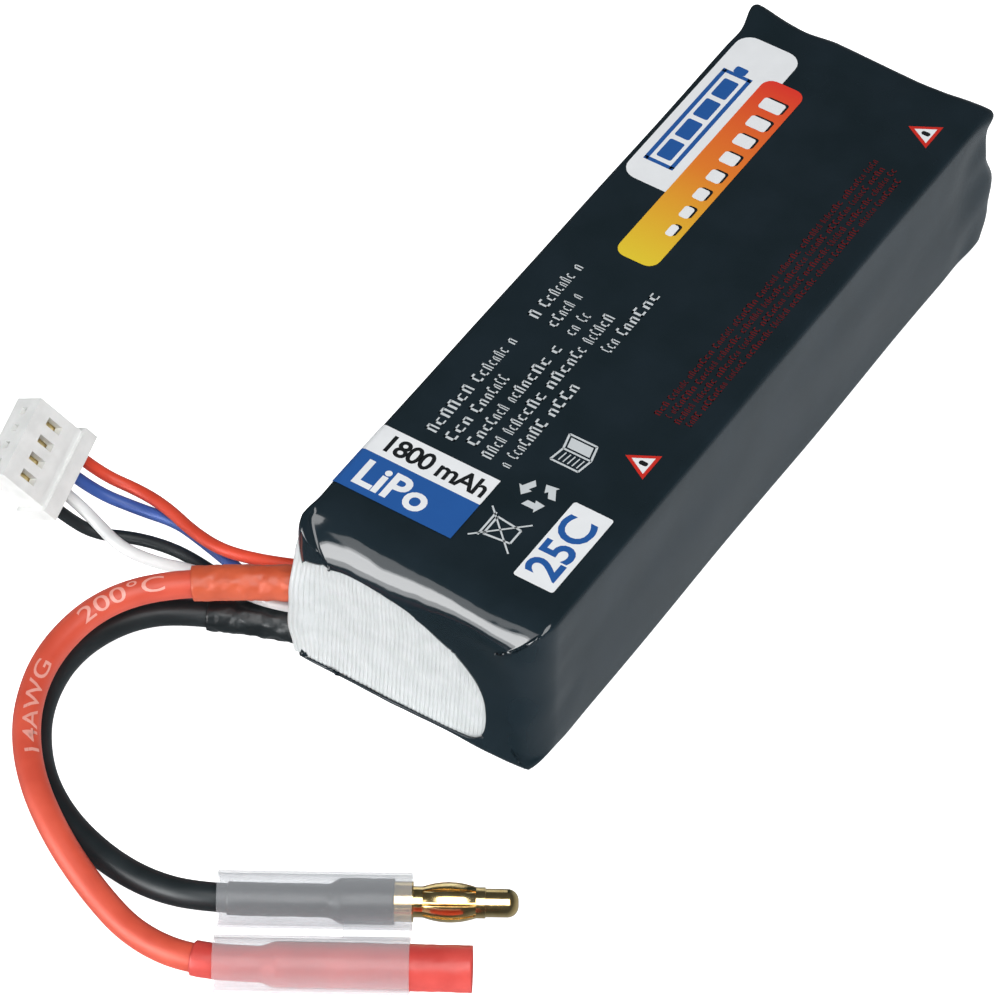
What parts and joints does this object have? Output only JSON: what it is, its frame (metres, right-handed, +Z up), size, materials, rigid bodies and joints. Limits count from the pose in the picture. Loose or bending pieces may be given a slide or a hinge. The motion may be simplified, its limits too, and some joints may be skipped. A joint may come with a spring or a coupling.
{
  "type": "lithium polymer battery pack",
  "caption": "Soft-wrapped rectangular lithium battery pack with silicone power leads ending in a bullet plug and socket in a sliding clear guard, and a balance connector on fine wires.",
  "frame": {"origin": "under the middle of the wrapped pack, on the surface it lies on", "axes": "+X along the pack away from its leads, +Y towards the side the leads leave at, +Z up"},
  "size_m": [0.1568, 0.0921, 0.0241],
  "materials": {
    "film": "thin glossy shrink film",
    "pouch_foil": "satin laminate foil",
    "tab_aluminium": "satin",
    "tab_nickel": "satin",
    "adhesive": "matt",
    "board": "solder mask",
    "ribbed_tape": "fine ribbed fibre tape",
    "foam": "matt closed-cell foam",
    "capacity_label": "printed gloss film",
    "rating_label": "printed gloss film",
    "silicone_red": "soft satin silicone",
    "silicone_black": "soft satin silicone",
    "wire_red": "satin silicone",
    "wire_blue": "satin silicone",
    "wire_white": "satin silicone",
    "wire_black": "satin silicone",
    "shrink_orange_red": "satin heat-shrink",
    "shrink_red": "satin heat-shrink",
    "shrink_black": "satin heat-shrink",
    "copper_strand": "stranded copper",
    "solder": "bright solder",
    "gold_plate": "polished gold plate",
    "contact_plate": "plated contact",
    "nylon_white": "satin nylon",
    "clear_guard": "clear milky vinyl"
  },
  "bodies": {
    "pack": {"adhesive_pad_1": "adhesive", "adhesive_pad_2": "adhesive", "balance_contact_1": "contact_plate", "balance_contact_2": "contact_plate", "balance_contact_3": "contact_plate", "balance_contact_4": "contact_plate", "balance_housing": "nylon_white", "balance_wire_black": "wire_black", "balance_wire_blue": "wire_blue", "balance_wire_red": "wire_red", "balance_wire_white": "wire_white", "capacity_label": "capacity_label", "cell_pouch_1": "pouch_foil", "cell_pouch_2": "pouch_foil", "cell_pouch_3": "pouch_foil", "cell_tab_negative_1": "tab_nickel", "cell_tab_negative_2": "tab_nickel", "cell_tab_negative_3": "tab_nickel", "cell_tab_positive_1": "tab_aluminium", "cell_tab_positive_2": "tab_aluminium", "cell_tab_positive_3": "tab_aluminium", "connection_board": "board", "exit_sleeve_negative": "shrink_black", "exit_sleeve_positive": "shrink_orange_red", "front_end_tape": "ribbed_tape", "lead_core_end_negative": "copper_strand", "lead_core_end_positive": "copper_strand", "plug_pin": "gold_plate", "plug_sleeve": "shrink_black", "power_lead_negative": "silicone_black", "power_lead_positive": "silicone_red", "rating_label": "rating_label", "rear_end_tape": "ribbed_tape", "rear_foam_pad": "foam", "shrink_film": "film", "socket_barrel": "gold_plate", "socket_sleeve": "shrink_red", "solder_joint_black": "solder", "solder_joint_blue": "solder", "solder_joint_negative": "solder", "solder_joint_positive": "solder", "solder_joint_red": "solder", "solder_joint_white": "solder"},
    "guard": {"twin_guard": "clear_guard"},
    "cage": {"plug_cage": "gold_plate"}
  },
  "joints": [
    {"name": "guard_slide", "type": "slide", "parent": "pack", "child": "guard", "axis": [0.5299, -0.848, 0], "range_m": [0, 0.013]},
    {"name": "cage_spin", "type": "hinge", "parent": "pack", "child": "cage", "pos_m": [-0.07786, -0.0211, 0.0034], "axis": [0.5299, -0.848, 0], "continuous": true}
  ]
}
